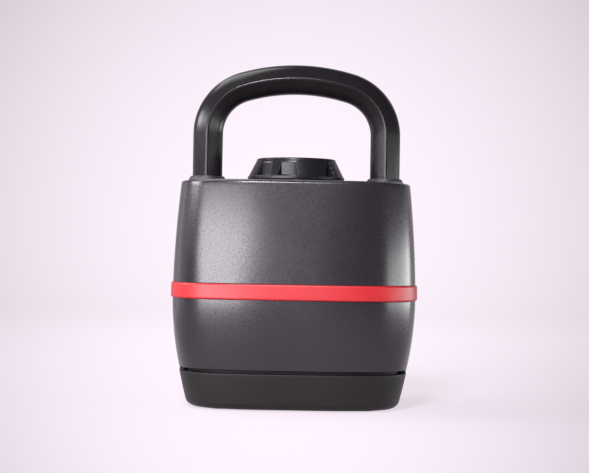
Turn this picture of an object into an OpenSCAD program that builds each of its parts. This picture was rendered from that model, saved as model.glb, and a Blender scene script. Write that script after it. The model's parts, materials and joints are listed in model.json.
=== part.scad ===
// Selectable-weight kettlebell: a hollow barrel-shaped shell with a bridge handle and a
// selector dial, standing over five cast plates in a base tray. Turning the dial swings
// paired lugs under the ledges of the plates that are to come up with the handle.
// Millimetres, Z up, the front faces -Y, the origin is the centre of the footprint.

/* [Body shell] */
// Width of the shell at its widest level
body_w = 223; // [180:0.1:260]
// How much shallower than wide the body is, front to back
body_flat = 48.6; // [0:0.1:80]
// Level of the widest part of the barrel
waist_z = 98; // [80:1:120]
// Amount the side draws in between the waist and the top rim
top_draw = 5.8; // [1:0.1:15]
// Amount the side draws in between the waist and the foot
foot_draw = 13; // [4:0.1:20]
// Squareness of the plan outline (2 is an ellipse)
plan_power = 3.6; // [2:0.1:6]
// Height of the top rim
rim_z = 205.2; // [180:0.1:230]
// Height of the lower edge of the shell
shell_low_z = 36.8; // [30:0.1:45]
// Wall thickness of the shell and of the tray
wall = 3; // [2:0.1:5]
// Height of the centre of the accent band
band_z = 106.4; // [90:0.1:120]
// Height of the accent band
band_h = 14; // [6:0.1:24]
// How far the accent band stands out from the shell
band_proud = 1.6; // [0.4:0.1:4]
// Depth of the seat for the band in the shell
band_seat = 1.2; // [0.6:0.1:2]

/* [Base tray] */
// Height of the tray wall
tray_h = 33.6; // [20:0.1:40]
// Thickness of the tray floor above the feet
tray_floor = 6; // [3:0.5:10]
// Half width of the tray well at its floor
well_hw = 96.4; // [90:0.1:100]
// Height of the ears that close the side windows of the shell
ear_top_z = 64.5; // [50:0.5:80]
// Half width of the ears at their root
ear_hw = 40; // [20:1:50]
// Clearance round the ears
ear_gap = 1.3; // [0.5:0.1:3]
// Radius of the rubber feet
foot_r = 11; // [6:0.5:18]
// How far the rubber feet stand out under the tray
foot_proud = 1; // [0.5:0.1:3]

/* [Handle] */
// Width of the handle over the legs
handle_w = 192.8; // [160:0.1:210]
// Height of the top of the handle
handle_top_z = 316; // [280:0.5:340]
// Thickness of the grip seen from the front
grip_t = 27.6; // [20:0.1:40]
// Thickness of the grip front to back
grip_d = 33; // [24:0.1:42]
// Outer radius of the shoulder bends
shoulder_r = 60; // [40:1:80]
// Outer radius of the crown of the handle
crown_r = 187.2; // [120:0.1:300]
// Radius of the steel rods that tie the legs down
bar_r = 9; // [6:0.5:10]
// Height of the collars at the foot of the legs
collar_h = 4.8; // [3:0.1:10]

/* [Dial] */
// Radius of the dial at its skirt
dial_r = 45; // [35:0.5:55]
// Radius of the dial at its top face
dial_top_r = 36.6; // [25:0.1:45]
// Height of the dial
dial_h = 19.9; // [12:0.1:30]
// Level of the underside of the dial
dial_z = 208.3; // [207:0.1:212]
// Height of the plain skirt round the dial
skirt_h = 3.3; // [2:0.1:8]
// Angle between neighbouring settings
step_a = 30; // [20:1:36]

/* [Plates and selector] */
// Half width of the plates
plate_hw = 91.4; // [80:0.5:96]
// Level of the underside of the lowest plate
stack_z = 9; // [8:0.5:14]
// Iron thickness that weighs one pound in this outline
inch_lb = 3.03; // [2.5:0.01:3.6]
// Thickness of the rubber pads between the plates
pad_t = 0.8; // [0.5:0.1:2]
// Radius of the selector shaft
shaft_r = 8; // [6:0.5:10]
// Reach of the selector lugs from the shaft axis
lug_r = 24; // [20:0.5:30]
// Width of a selector lug as an angle
lug_a = 22; // [16:1:26]
// Thickness of the selector lugs
lug_t = 4; // [3:0.5:6]
// Clearance between lugs and plates
lug_gap = 1; // [0.6:0.1:2]
// Thickness of the fixed iron plate above the stack
core_t = 8; // [6:0.5:14]
// Thickness of the chassis plate over the fixed iron plate
chassis_t = 3.5; // [3:0.5:8]

/* [Hidden] */

round_fn = 96;
small_fn = 48;
ring_n = 88;
collar_n = 48;
cut = 1;
half_flat = body_flat / 2;
draw_power = 1.8;
draw_ref_top = 199;
draw_ref_foot = 7;
draw_top = top_draw / pow(draw_ref_top - waist_z, draw_power);
draw_foot = foot_draw / pow(waist_z - draw_ref_foot, draw_power);
steps_up = 8;
steps_down = 7;

band_lo = band_z - band_h / 2;
band_hi = band_z + band_h / 2;
edge_r = 3;
open_hw = 101;
ledge_hw = 93;
ledge_z = 201;
ledge_t = 4;
cover_gap = 0.2;
cover_proud = 1;
cover_top_z = rim_z + cover_proud;

pounds = [4, 8, 5, 10, 5];
plates = len(pounds);
function plate_t(n) = pounds[n - 1] * inch_lb;
function plate_z(n) = n == plates ? stack_z : plate_z(n + 1) + plate_t(n + 1) + pad_t;
stack_top_z = plate_z(1) + plate_t(1) + pad_t;
core_z = stack_top_z;
chassis_z = core_z + core_t;
chassis_top_z = chassis_z + chassis_t;
flange_t = 3;
flange_hw = 100;
core_hw = 98;
chassis_hw = 107;

hub_r = 15;
ledge_r = 17;
sweep_r = lug_r + 1.2;
chamber_r = sweep_r + 0.6;
lug_lift = 3;
sweep_h = lug_lift + lug_t + lug_gap;
notch_slack = 2;
boss_r = 5;
boss_h = 5;
socket_r = 5.6;
socket_h = 6.5;
boss_x = 58;
boss_y = 30;
pad_r = 7;
pad_x = 70;
pad_y = 38;

leg_x = handle_w / 2 - grip_t / 2;
crown_z = handle_top_z - crown_r;
shoulder_x = handle_w / 2 - shoulder_r;
shoulder_z = crown_z + sqrt(pow(crown_r - shoulder_r, 2) - pow(shoulder_x, 2));
crown_a = atan2(shoulder_z - crown_z, shoulder_x);
crown_mid = crown_r - grip_t / 2;
shoulder_mid = shoulder_r - grip_t / 2;
stud_r = 6;
stud_gap = 0.4;
nut_af = 16;
nut_t = 4.6;
nut_pocket_r = 10.4;
grip_n = 40;
ridge_power = 1.25;
bend_steps = 12;
crown_steps = 9;
rod_gap = 0.3;
rod_top_z = shoulder_z - 4;

wheel_z = chassis_top_z + 3;
wheel_t = 5;
wheel_r = 20;
scallop_r = 3;
nose_r = 2.6;
spring_t = 0.8;
spring_y = -(wheel_r + 0.6 + spring_t / 2);
spring_post_x = 30;
bush_gap = 0.3;
bush_wall = 2;
dial_inner_r = 31;
dial_roof = 4;
dial_hub_r = 13;
dial_edge = 1.6;
pocket_floor_r = 37.9;
slot_floor_r = 35;
pocket_mouth_a = 13.25;
pocket_floor_a = 10.25;
slot_from_a = 31.5;
slot_deep_a = 53;
slot_to_a = 54.6;
shaft_top_z = dial_z + dial_h - 7;
shaft_low_z = stack_z + 1;
cap_r = 27;
cap_t = 1.4;
scale_in_r = 46.5;
scale_out_r = 60;
scale_t = 0.8;

c_shell = [0.23, 0.22, 0.24];
c_black = [0.06, 0.06, 0.07];
c_tray = [0.09, 0.09, 0.10];
c_red = [0.72, 0.10, 0.10];
c_iron = [0.20, 0.20, 0.21];
c_steel = [0.62, 0.63, 0.65];
c_rubber = [0.05, 0.05, 0.05];

// ---- outlines -------------------------------------------------------------------------

// Half width of the barrel at height z.
function side(z) = body_w / 2 - (z > waist_z ? draw_top : draw_foot)
  * pow(abs(z - waist_z), draw_power);
// A point of the plan outline with half width a, at angle t.
function plan_pt(a, t, b) = let (r = pow(pow(abs(cos(t)) / a, plan_power)
  + pow(abs(sin(t)) / b, plan_power), -1 / plan_power)) [r * cos(t), r * sin(t)];
function plan(a) = [for (i = [0:ring_n - 1]) plan_pt(a, i * 360 / ring_n, a - half_flat)];
function inset(d, z) = [side(z) - d, z];

// A skin over rings of points; closed joins the last ring to the first.
module skin(rings, closed = false) {
  m = len(rings);
  n = len(rings[0]);
  walls = [for (k = [0:m - (closed ? 1 : 2)]) for (i = [0:n - 1])
    let (j = (i + 1) % n, a = k * n, b = ((k + 1) % m) * n)
    each [[a + i, b + i, b + j], [a + i, b + j, a + j]]];
  ends = closed ? [] : [[for (i = [0:n - 1]) i], [for (i = [n - 1:-1:0]) (m - 1) * n + i]];
  polyhedron([for (r = rings) each r], concat(walls, ends), convexity = 8);
}

// A skin through levels [half width, height] of the plan outline.
module loft(levels, closed = false) {
  skin([for (v = levels) [for (p = plan(v[0])) [p[0], p[1], v[1]]]], closed);
}

// A straight slab with the plan outline.
module slab(a, z, t) {
  translate([0, 0, z]) linear_extrude(t) polygon(plan(a));
}

// A sector of a ring between two angles.
module sector(r_in, r_out, a_from, a_to, z, h) {
  rotate([0, 0, a_from]) translate([0, 0, z]) rotate_extrude(angle = a_to - a_from, $fn = round_fn)
    translate([r_in, 0]) square([r_out - r_in, h]);
}

module tube(r_in, r_out, z, h, fn = round_fn) {
  difference() {
    translate([0, 0, z]) cylinder(r = r_out, h = h, $fn = fn);
    translate([0, 0, z - cut]) cylinder(r = r_in, h = h + 2 * cut, $fn = fn);
  }
}

module rod(r, z, h, fn = round_fn) {
  translate([0, 0, z]) cylinder(r = r, h = h, $fn = fn);
}

module hex(af, z, h) {
  translate([0, 0, z]) linear_extrude(h)
    polygon([for (i = [0:5]) af / sqrt(3) * [cos(60 * i), sin(60 * i)]]);
}

module at_corners(x, y) {
  for (sx = [-1, 1], sy = [-1, 1]) translate([sx * x, sy * y, 0]) children();
}

module at_bosses() {
  for (s = [-1, 1]) translate([s * boss_x, s * boss_y, 0]) children();
}

module at_legs() {
  for (s = [-1, 1]) translate([s * leg_x, 0, 0]) children();
}

// Places on a plan outline of half width a.
module round_plan(a, angles) {
  for (t = angles) {
    p = plan_pt(a, t, a - half_flat);
    translate([p[0], p[1], 0]) children();
  }
}

// ---- base -----------------------------------------------------------------------------

// Side view of an ear, grown by g.
module ear_shape(g) {
  r = 9 + g;
  lo = tray_h - 12;
  hull() {
    for (s = [-1, 1]) {
      translate([s * (ear_hw - 7 - 9), ear_top_z - 9]) circle(r = r, $fn = small_fn);
      translate([s * (ear_hw - 9), lo]) circle(r = r, $fn = small_fn);
    }
  }
}

// The ear outline pushed through the body along X, above level z.
module ear_cut(g, z) {
  intersection() {
    translate([-body_w, 0, 0]) rotate([90, 0, 90]) linear_extrude(2 * body_w) ear_shape(g);
    translate([-body_w, -body_w, z]) cube([2 * body_w, 2 * body_w, body_w]);
  }
}

module base_tray() {
  bottom = foot_proud;
  lip = 6.5;
  lip_z = tray_h + 5.5;
  ear_in = 0.8;
  union() {
    difference() {
      loft([
        [side(bottom) - 6, bottom], [side(bottom) - 3.5, bottom + 0.4],
        [side(bottom) - 1.5, bottom + 1.8], inset(0.4, bottom + 3.7), inset(0, bottom + 6),
        inset(0, 15), inset(0, 22), inset(0, tray_h - 1), inset(0.9, tray_h),
        inset(lip, tray_h), inset(lip, lip_z - 0.8), inset(lip + 0.7, lip_z),
        inset(lip + 1.9, lip_z), inset(lip + 2, tray_h), [well_hw + 0.8, 16],
        [well_hw, bottom + tray_floor + 1], [well_hw - 1, bottom + tray_floor]]);
      at_corners(64, 42) translate([0, 0, bottom - cut]) cylinder(r = foot_r, h = 2 + cut, $fn = small_fn);
      at_bosses() rod(boss_r + 0.1, bottom + 2, tray_floor, small_fn);
    }
    intersection() {
      loft([inset(ear_in, tray_h - 1.2), inset(ear_in, 40), inset(ear_in, 50), inset(ear_in, 60),
        inset(ear_in, ear_top_z + cut), inset(ear_in + wall, ear_top_z + cut),
        inset(ear_in + wall, 50), inset(ear_in + wall, tray_h - 1.2)], closed = true);
      ear_cut(0, tray_h - 1.2 + 0.01);
    }
  }
}

module tray_liner() {
  difference() {
    slab(well_hw - 1.4, foot_proud + tray_floor, stack_z - foot_proud - tray_floor);
    at_bosses() rod(boss_r + 0.5, 0, stack_z + cut, small_fn);
  }
}

module base_feet() {
  at_corners(64, 42) rod(foot_r - 0.2, 0, foot_proud + 2, small_fn);
}

module locating_pins() {
  at_bosses() rod(boss_r, foot_proud + 2, stack_z + boss_h - foot_proud - 2, small_fn);
}

// ---- plates ---------------------------------------------------------------------------

// Plate n: a cast slab with a ledge for the lugs, cut through over the settings in which
// the plate stays behind, and a chamber under the ledge in which the lugs turn.
module weight_plate(n) {
  z = plate_z(n);
  t = plate_t(n);
  open_a = (n - 1) * step_a + lug_a / 2 + notch_slack;
  difference() {
    union() {
      slab(plate_hw, z, t);
      at_bosses() rod(boss_r, z + t - cut, boss_h + cut, small_fn);
    }
    rod(ledge_r, z - cut, t + 2 * cut);
    rod(chamber_r, z - cut, sweep_h + cut);
    for (turn = [0, 180]) sector(ledge_r - cut, sweep_r, turn - lug_a / 2 - notch_slack,
      turn + open_a, z + cut, t);
    at_bosses() rod(socket_r, z - cut, socket_h + cut, small_fn);
  }
}

module plate_pads(n) {
  at_corners(pad_x, pad_y) rod(pad_r, plate_z(n) + plate_t(n), pad_t, small_fn);
}

// ---- shell ----------------------------------------------------------------------------

module upper_shell() {
  difference() {
    loft(concat(
      [inset(wall, band_z), inset(band_seat, band_z), inset(band_seat, band_hi), inset(0, band_hi)],
      [for (k = [1:steps_up]) inset(0, band_hi + k * (rim_z - edge_r - band_hi) / steps_up)],
      [inset(0.4, rim_z - 1.6), inset(1.2, rim_z - 0.5), inset(2.4, rim_z),
        [open_hw, rim_z], [open_hw, ledge_z], [ledge_hw, ledge_z], [ledge_hw, ledge_z - ledge_t],
        inset(wall, ledge_z - 4 * ledge_t)],
      [for (k = [1:5]) inset(wall, ledge_z - 4 * ledge_t
        - k * (ledge_z - 4 * ledge_t - chassis_z) / 5)],
      [[flange_hw, chassis_z], [flange_hw, chassis_z - flange_t],
        inset(wall, chassis_z - flange_t), inset(wall, band_hi)]), closed = true);
    round_plan(ledge_hw + 3.4, [32, 90, 148, 212, 270, 328])
      rod(1.6, ledge_z - ledge_t - cut, ledge_t + 2 * cut, small_fn);
    round_plan(flange_hw + 3.6, [30, 90, 150, 210, 270, 330])
      rod(1.6, chassis_z - flange_t - cut, flange_t + 2 * cut, small_fn);
  }
}

module lower_shell() {
  low = shell_low_z;
  difference() {
    loft(concat(
      [inset(wall, band_z), inset(wall, 92)],
      [for (k = [1:5]) inset(wall, 92 - k * (92 - low) / 5)],
      [inset(wall - 0.6, low), inset(0.7, low), inset(0, low + 0.8)],
      [for (k = [1:steps_down]) inset(0, low + 0.8 + k * (band_lo - low - 0.8) / steps_down)],
      [inset(band_seat, band_lo), inset(band_seat, band_z)]), closed = true);
    ear_cut(ear_gap, low - cut);
  }
}

module accent_band() {
  p = band_proud;
  loft([inset(band_seat, band_z), inset(band_seat, band_lo), inset(-p + 0.9, band_lo),
    inset(-p + 0.25, band_lo + 0.7), inset(-p, band_lo + 2), inset(-p, band_z),
    inset(-p, band_hi - 2), inset(-p + 0.25, band_hi - 0.7), inset(-p + 0.9, band_hi),
    inset(band_seat, band_hi)], closed = true);
}

module top_cover() {
  difference() {
    union() {
      slab(open_hw - cover_gap, ledge_z, cover_top_z - ledge_z - 0.6);
      slab(open_hw - cover_gap - 0.8, cover_top_z - 0.6 - 0.1, 0.7);
    }
    at_legs() rod(bar_r + stud_gap, ledge_z - cut, 4 * cut + ledge_t, small_fn);
    rod(shaft_r + bush_gap + bush_wall, ledge_z - cut, 4 * cut + ledge_t);
    round_plan(ledge_hw + 3.4, [32, 90, 148, 212, 270, 328]) {
      rod(1.7, ledge_z - cut, ledge_t + 4 * cut, small_fn);
      rod(3.3, cover_top_z - 2.2, ledge_t, small_fn);
    }
  }
}

module cover_screws() {
  round_plan(ledge_hw + 3.4, [32, 90, 148, 212, 270, 328]) difference() {
    union() {
      rod(1.5, ledge_z - 3.6, cover_top_z - ledge_z + 1.6, small_fn);
      rod(3, cover_top_z - 2.2, 1.8, small_fn);
    }
    hex(2, cover_top_z - 1.4, 2);
  }
}

// Flat ring with one raised mark for each setting.
module scale_ring() {
  union() {
    tube(scale_in_r, scale_out_r, cover_top_z, scale_t);
    for (k = [0:plates]) rotate([0, 0, -90 + k * step_a])
      translate([scale_in_r + 0.8, -0.6, cover_top_z + scale_t - 0.2]) cube([3.2, 1.2, 0.5]);
  }
}

// ---- handle ---------------------------------------------------------------------------

// Cross-section of the grip: oval, with a soft ridge along its front and back.
grip_shape = [for (i = [0:grip_n - 1]) let (t = i * 360 / grip_n, c = cos(t))
  [grip_t / 2 * sign(c) * pow(abs(c), ridge_power), grip_d / 2 * sin(t)]];
// The cross-section set at distance r from an arc's centre, turned by a.
function grip_ring(x, z, r, a) = [for (p = grip_shape)
  [x + (r + p[0]) * cos(a), p[1], z + (r + p[0]) * sin(a)]];

module handle_grip() {
  x = shoulder_x;
  z = shoulder_z;
  r = shoulder_mid;
  difference() {
    skin(concat([grip_ring(x, cover_top_z, r, 0)],
      [for (k = [0:bend_steps - 1]) grip_ring(x, z, r, k * crown_a / bend_steps)],
      [for (k = [0:crown_steps])
        grip_ring(0, crown_z, crown_mid, crown_a + k * (180 - 2 * crown_a) / crown_steps)],
      [for (k = [1:bend_steps]) grip_ring(-x, z, r, 180 - crown_a + k * crown_a / bend_steps)],
      [grip_ring(-x, cover_top_z, r, 180)]));
    at_legs() rod(bar_r + rod_gap, cover_top_z - cut, rod_top_z - cover_top_z + 2 * cut, small_fn);
  }
}

// Steel rods in the legs, stepped down to a stud through the chassis and the fixed weight.
module handle_rods() {
  at_legs() union() {
    rod(bar_r, chassis_top_z, rod_top_z - chassis_top_z, small_fn);
    rod(stud_r, core_z + 0.3, chassis_top_z - core_z, small_fn);
  }
}

// Bevelled oval ring round the foot of each leg.
module handle_collars() {
  function oval(g) = [for (i = [0:collar_n - 1]) let (t = i * 360 / collar_n)
    [(grip_t / 2 + g) * cos(t), (grip_d / 2 + g) * sin(t)]];
  levels = [[0.3, 0], [3.2, 0], [3.2, 2.6], [1.6, collar_h], [0.3, collar_h]];
  at_legs() translate([0, 0, cover_top_z])
    skin([for (v = levels) [for (p = oval(v[0])) [p[0], p[1], v[1]]]], closed = true);
}

module handle_nuts() {
  at_legs() difference() {
    hex(nut_af, core_z + 0.3, nut_t - 0.3);
    rod(stud_r, core_z - cut, nut_t + 3 * cut, small_fn);
  }
}

// ---- fixed weight and chassis -----------------------------------------------------------

module core_weight() {
  difference() {
    slab(core_hw, core_z, core_t);
    rod(lug_r + 1.2, core_z - cut, core_t + 2 * cut);
    at_legs() {
      rod(stud_r + stud_gap, core_z - cut, core_t + 2 * cut, small_fn);
      rod(nut_pocket_r, core_z - cut, nut_t + cut, small_fn);
    }
    at_bosses() rod(socket_r, core_z - cut, socket_h + cut, small_fn);
  }
}

module chassis_plate() {
  difference() {
    slab(chassis_hw, chassis_z, chassis_t);
    rod(shaft_r + bush_gap + bush_wall, chassis_z - cut, chassis_t + 2 * cut);
    at_legs() rod(stud_r + stud_gap, chassis_z - cut, chassis_t + 2 * cut, small_fn);
    round_plan(flange_hw + 3.6, [30, 90, 150, 210, 270, 330])
      rod(1.7, chassis_z - cut, chassis_t + 2 * cut, small_fn);
    for (s = [-1, 1]) translate([s * spring_post_x, spring_y, 0])
      rod(1.5, chassis_z - cut, chassis_t + 2 * cut, small_fn);
  }
}

module chassis_screws() {
  round_plan(flange_hw + 3.6, [30, 90, 150, 210, 270, 330]) difference() {
    union() {
      rod(1.5, chassis_z - flange_t - 1, chassis_t + flange_t + 1 + cut, small_fn);
      rod(3.2, chassis_top_z, 2.2, small_fn);
    }
    hex(2.2, chassis_top_z + 0.8, 2);
  }
}

module upper_bushing() {
  union() {
    tube(shaft_r + bush_gap, shaft_r + bush_gap + bush_wall, ledge_z - 3, cover_top_z - ledge_z + 3);
    tube(shaft_r + bush_gap, shaft_r + bush_gap + 2 * bush_wall, ledge_z - 3, 3);
  }
}

module lower_bushing() {
  tube(shaft_r + bush_gap, shaft_r + bush_gap + bush_wall, chassis_z, chassis_t + 1);
}

// Strip spring held at both ends, with a nose that drops into the index wheel.
module detent_spring() {
  z = chassis_top_z;
  union() {
    translate([-spring_post_x + 3, spring_y - spring_t / 2, wheel_z])
      cube([2 * (spring_post_x - 3), spring_t, wheel_t]);
    intersection() {
      translate([0, spring_y + spring_t / 2, 0]) rod(nose_r, wheel_z, wheel_t, small_fn);
      translate([-nose_r, spring_y, 0]) cube([2 * nose_r, 2 * nose_r, 2 * wheel_z]);
    }
    for (s = [-1, 1]) translate([s * spring_post_x, spring_y, 0])
      tube(1.6, 4, z, wheel_z + wheel_t - z, small_fn);
  }
}

module detent_screws() {
  for (s = [-1, 1]) translate([s * spring_post_x, spring_y, 0]) difference() {
    union() {
      rod(1.5, chassis_z, wheel_z + wheel_t - chassis_z + cut, small_fn);
      rod(3.4, wheel_z + wheel_t, 2, small_fn);
    }
    hex(2.2, wheel_z + wheel_t + 0.8, 2);
  }
}

// ---- selector -------------------------------------------------------------------------

// Side profile of the dial: skirt, cone and a rounded top edge.
module dial_profile() {
  polygon(concat([[0, 0], [dial_r - 0.5, 0], [dial_r, 0.5], [dial_r, skirt_h - 0.6],
      [dial_r - 0.6, skirt_h]],
    [for (a = [15:15:90]) [dial_top_r - dial_edge + dial_edge * sin(90 - a) ,
      dial_h - dial_edge + dial_edge * sin(a)]],
    [[0, dial_h]]));
}

// A finger pocket in the side of the dial: floor between two angles, flared walls outside them
module dial_pocket(mouth, floor_a, floor_r) {
  far = dial_r + 1;
  translate([0, 0, dial_z + skirt_h]) linear_extrude(dial_h)
    polygon(concat([far * [sin(mouth[0]), -cos(mouth[0])]],
      [for (k = [0:1:4]) let (a = floor_a[0] + (floor_a[1] - floor_a[0]) * k / 4)
        floor_r * [sin(a), -cos(a)]],
      [far * [sin(mouth[1]), -cos(mouth[1])]]));
}

module dial_knob() {
  difference() {
    translate([0, 0, dial_z]) rotate_extrude($fn = round_fn) dial_profile();
    for (half = [0, 180]) {
      for (a = [half - 44.5, half - 10.5]) dial_pocket([a - pocket_mouth_a, a + pocket_mouth_a],
        [a - pocket_floor_a, a + pocket_floor_a], pocket_floor_r);
      dial_pocket([half + slot_from_a, half + slot_to_a],
        [half + slot_deep_a - 0.4, half + slot_deep_a], slot_floor_r);
    }
    tube(dial_hub_r, dial_inner_r, dial_z - cut, dial_h - dial_roof + cut);
    rod(shaft_r, dial_z - cut, shaft_top_z - dial_z + cut);
    rod(3, dial_z, dial_h - cap_t, small_fn);
    rod(5.6, shaft_top_z + 2, dial_h, small_fn);
    rod(cap_r + 0.2, dial_z + dial_h - cap_t, 2 * cap_t);
  }
}

module dial_cap() {
  rod(cap_r, dial_z + dial_h - cap_t, cap_t - 0.3);
}

module dial_screw() {
  difference() {
    union() {
      rod(2.5, shaft_top_z - 14, 16, small_fn);
      rod(4.8, shaft_top_z + 2, 3, small_fn);
    }
    hex(4, shaft_top_z + 3.2, 4);
  }
}

module selector_shaft() {
  difference() {
    union() {
      rod(shaft_r, shaft_low_z, shaft_top_z - shaft_low_z);
      rod(shaft_r + 3, chassis_top_z + 1.3, wheel_z - chassis_top_z - 1.3);
    }
    rod(2.5, shaft_top_z - 15, 16, small_fn);
    tube(shaft_r - 1.2, shaft_r + 1, shaft_low_z + 0.6, 1);
  }
}

module index_wheel() {
  difference() {
    tube(shaft_r, wheel_r, wheel_z, wheel_t);
    for (k = [0:plates]) rotate([0, 0, -90 - k * step_a]) translate([wheel_r, 0, 0])
      rod(scallop_r, wheel_z - cut, wheel_t + 2 * cut, small_fn);
  }
}

// Disc n with its pair of lugs, turning in the chamber of plate n.
module selector_cam(n) {
  reach = 2 * lug_r;
  translate([0, 0, plate_z(n) + lug_lift]) linear_extrude(lug_t) difference() {
    union() {
      circle(r = hub_r, $fn = round_fn);
      intersection() {
        circle(r = lug_r, $fn = round_fn);
        for (turn = [0, 180]) rotate(turn)
          polygon([[0, 0], [reach, -reach * tan(lug_a / 2)], [reach, reach * tan(lug_a / 2)]]);
      }
    }
    circle(r = shaft_r, $fn = round_fn);
  }
}

module cam_spacers() {
  for (n = [1:plates]) {
    lo = plate_z(n) + lug_lift + lug_t;
    hi = n == 1 ? chassis_z - 0.6 : plate_z(n - 1) + lug_lift;
    tube(shaft_r, shaft_r + 3.5, lo, hi - lo);
  }
}

module retaining_clip() {
  difference() {
    tube(shaft_r - 1.2, shaft_r + 3, shaft_low_z + 0.6, 1, small_fn);
    translate([0, -3, shaft_low_z]) cube([shaft_r + 4, 6, 3]);
  }
}

// ---- drawing --------------------------------------------------------------------------

color(c_tray) base_tray();
color(c_rubber) tray_liner();
color(c_rubber) base_feet();
color(c_steel) locating_pins();
color(c_iron) weight_plate(1);  // weight_plate_1
color(c_iron) weight_plate(2);  // weight_plate_2
color(c_iron) weight_plate(3);  // weight_plate_3
color(c_iron) weight_plate(4);  // weight_plate_4
color(c_iron) weight_plate(5);  // weight_plate_5
color(c_rubber) plate_pads(1);  // plate_pads_1
color(c_rubber) plate_pads(2);  // plate_pads_2
color(c_rubber) plate_pads(3);  // plate_pads_3
color(c_rubber) plate_pads(4);  // plate_pads_4
color(c_rubber) plate_pads(5);  // plate_pads_5
color(c_shell) upper_shell();
color(c_shell) lower_shell();
color(c_red) accent_band();
color(c_black) top_cover();
color(c_steel) cover_screws();
color(c_black) scale_ring();
color(c_steel) handle_rods();
color(c_black) handle_grip();
color(c_black) handle_collars();
color(c_steel) handle_nuts();
color(c_iron) core_weight();
color(c_tray) chassis_plate();
color(c_steel) chassis_screws();
color(c_rubber) upper_bushing();
color(c_rubber) lower_bushing();
color(c_steel) detent_spring();
color(c_steel) detent_screws();
color(c_black) dial_knob();
color(c_black) dial_cap();
color(c_steel) dial_screw();
color(c_steel) selector_shaft();
color(c_steel) index_wheel();
color(c_steel) selector_cam(1);  // selector_cam_1
color(c_steel) selector_cam(2);  // selector_cam_2
color(c_steel) selector_cam(3);  // selector_cam_3
color(c_steel) selector_cam(4);  // selector_cam_4
color(c_steel) selector_cam(5);  // selector_cam_5
color(c_steel) cam_spacers();
color(c_steel) retaining_clip();
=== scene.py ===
"""Adjustable kettlebell: the visible pieces and their finishes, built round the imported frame.

Metres, Z up, the front faces -Y. Sizes that the frame gives are read from it.
"""

import json
import logging
import math
from dataclasses import dataclass
from enum import Enum
from typing import Any, Dict, List, Mapping, Optional, Sequence, Tuple, Union

import bmesh
import bpy
import numpy as np
from mathutils import Matrix, Vector


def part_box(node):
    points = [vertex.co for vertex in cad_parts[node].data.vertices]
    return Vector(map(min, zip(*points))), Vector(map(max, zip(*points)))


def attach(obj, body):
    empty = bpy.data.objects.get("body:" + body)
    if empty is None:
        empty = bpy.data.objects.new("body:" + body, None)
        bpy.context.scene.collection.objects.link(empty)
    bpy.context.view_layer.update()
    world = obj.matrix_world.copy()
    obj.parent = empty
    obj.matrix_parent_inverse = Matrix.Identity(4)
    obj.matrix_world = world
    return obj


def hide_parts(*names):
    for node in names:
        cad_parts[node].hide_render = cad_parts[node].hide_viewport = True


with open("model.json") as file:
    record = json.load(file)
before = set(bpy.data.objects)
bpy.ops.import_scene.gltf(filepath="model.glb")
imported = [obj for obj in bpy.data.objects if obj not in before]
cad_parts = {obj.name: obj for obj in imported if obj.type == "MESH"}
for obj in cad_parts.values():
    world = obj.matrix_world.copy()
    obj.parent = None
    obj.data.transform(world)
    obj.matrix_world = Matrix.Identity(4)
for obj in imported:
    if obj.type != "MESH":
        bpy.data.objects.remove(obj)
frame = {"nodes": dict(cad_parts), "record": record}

LOG = logging.getLogger("kettlebell")
MM = 0.001
TURN = 2 * math.pi
PAINT_SUNK = 0.1 * MM

Colour = Tuple[float, float, float]
Point = Tuple[float, float]
Level = Tuple[float, float]


# ---------------------------------------------------------------- shader tools


class Value:
    """A shader socket. Arithmetic on it adds Math nodes."""

    def __init__(self, tree: "Tree", socket: bpy.types.NodeSocket) -> None:
        """Keeps the tree and the socket.

        Args:
            tree: The node tree the socket belongs to.
            socket: The output socket.
        """
        self.tree = tree
        self.socket = socket

    def _math(self, operation: str, *terms: "Number") -> "Value":
        """Adds one Math node.

        Args:
            operation: The Math node's operation.
            terms: Its inputs, in order.

        Returns:
            The result.
        """
        return self.tree.node(
            "ShaderNodeMath", {"operation": operation}, dict(enumerate(terms))
        )

    def __add__(self, other: "Number") -> "Value":
        """self + other."""
        return self._math("ADD", self, other)

    def __radd__(self, other: "Number") -> "Value":
        """other + self."""
        return self._math("ADD", other, self)

    def __sub__(self, other: "Number") -> "Value":
        """self - other."""
        return self._math("SUBTRACT", self, other)

    def __rsub__(self, other: "Number") -> "Value":
        """other - self."""
        return self._math("SUBTRACT", other, self)

    def __mul__(self, other: "Number") -> "Value":
        """self * other."""
        return self._math("MULTIPLY", self, other)

    def __rmul__(self, other: "Number") -> "Value":
        """other * self."""
        return self._math("MULTIPLY", other, self)

    def __truediv__(self, other: "Number") -> "Value":
        """self / other."""
        return self._math("DIVIDE", self, other)

    def __rtruediv__(self, other: "Number") -> "Value":
        """other / self."""
        return self._math("DIVIDE", other, self)

    def __pow__(self, other: "Number") -> "Value":
        """self to the power other."""
        return self._math("POWER", self, other)

    def __rpow__(self, other: "Number") -> "Value":
        """other to the power self."""
        return self._math("POWER", other, self)

    def wave(self) -> "Value":
        """The sine of self."""
        return self._math("SINE", self)

    def at_least(self, floor: "Number") -> "Value":
        """The larger of self and floor."""
        return self._math("MAXIMUM", self, floor)

    def ease(self, low: float, high: float) -> "Value":
        """Goes smoothly from 0 at low to 1 at high.

        Args:
            low: Where it leaves 0.
            high: Where it reaches 1.

        Returns:
            The eased value.
        """
        return self.tree.node(
            "ShaderNodeMapRange",
            {"interpolation_type": "SMOOTHSTEP"},
            {"Value": self, "From Min": low, "From Max": high},
        )


Number = Union[float, Value]


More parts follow.
